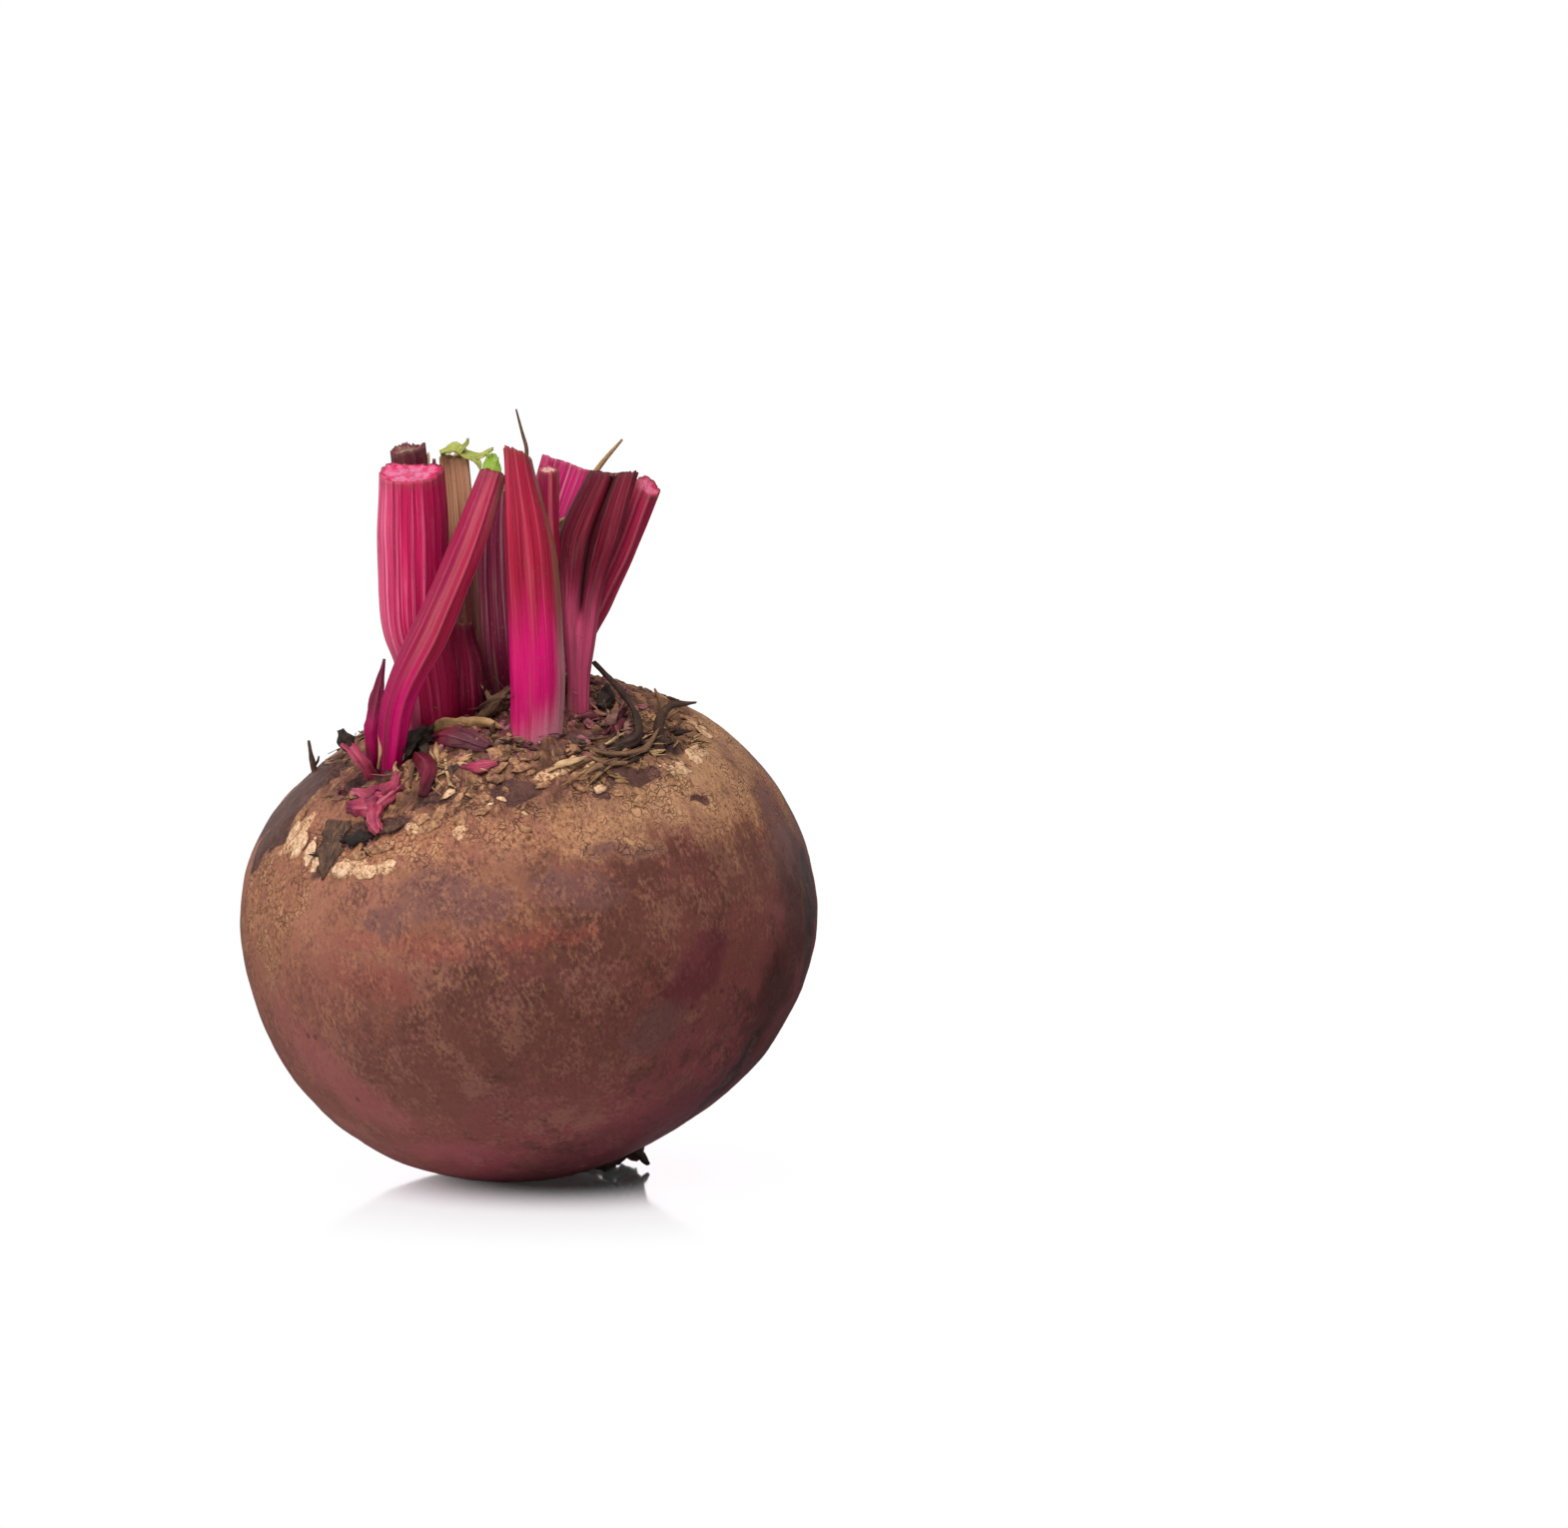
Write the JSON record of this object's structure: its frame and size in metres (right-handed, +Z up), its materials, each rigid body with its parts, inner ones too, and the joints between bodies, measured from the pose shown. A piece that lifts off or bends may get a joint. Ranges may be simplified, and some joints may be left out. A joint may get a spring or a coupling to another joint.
{
  "type": "beetroot",
  "caption": "Round beetroot with brown corky shoulders, a snapped-off tap root and short cut leaf stalks standing on its crown; it rests on a small flat spot.",
  "frame": {"origin": "middle of the small flat under the root that it stands on", "axes": "+Z up through the stalks, +X to the side the tap root points to, -Y the front"},
  "size_m": [0.0923, 0.093, 0.1253],
  "materials": {
    "root_skin": "matte",
    "leaf_stalk": "satin",
    "wine_stalk": "satin",
    "pink_stalk": "satin",
    "tan_stalk": "matte",
    "dry_leaf": "matte",
    "green_leaf": "satin"
  },
  "bodies": {
    "root": {"root": "root_skin", "stalk_left_front": "leaf_stalk", "stalk_left_behind": "wine_stalk", "stalk_tan": "tan_stalk", "stalk_slanting": "pink_stalk", "stalk_centre_front": "leaf_stalk", "stalk_purple": "wine_stalk", "stalk_short_inner": "wine_stalk", "stalk_small_inner": "pink_stalk", "stalk_right_behind": "leaf_stalk", "stalk_right_channelled": "wine_stalk", "stalk_far_right": "leaf_stalk", "stalk_back_left": "leaf_stalk", "stalk_back_middle": "leaf_stalk", "stalk_back_right": "leaf_stalk", "heart_shoot_left": "pink_stalk", "heart_shoot_right": "pink_stalk", "base_spike_left": "wine_stalk", "base_stub_left": "wine_stalk", "base_pink_star": "pink_stalk", "base_wine_curl": "wine_stalk", "base_pad_upper": "pink_stalk", "base_pad_lower": "pink_stalk", "base_sheath_middle": "tan_stalk", "dry_sheath_right": "dry_leaf", "dry_hook_right": "dry_leaf", "dry_thorn_right": "tan_stalk", "dry_strip_left": "dry_leaf", "dry_twig_left": "dry_leaf", "thread_top": "dry_leaf", "thread_right": "tan_stalk", "scrap_green_left": "green_leaf", "scrap_green_right": "green_leaf"}
  },
  "joints": []
}
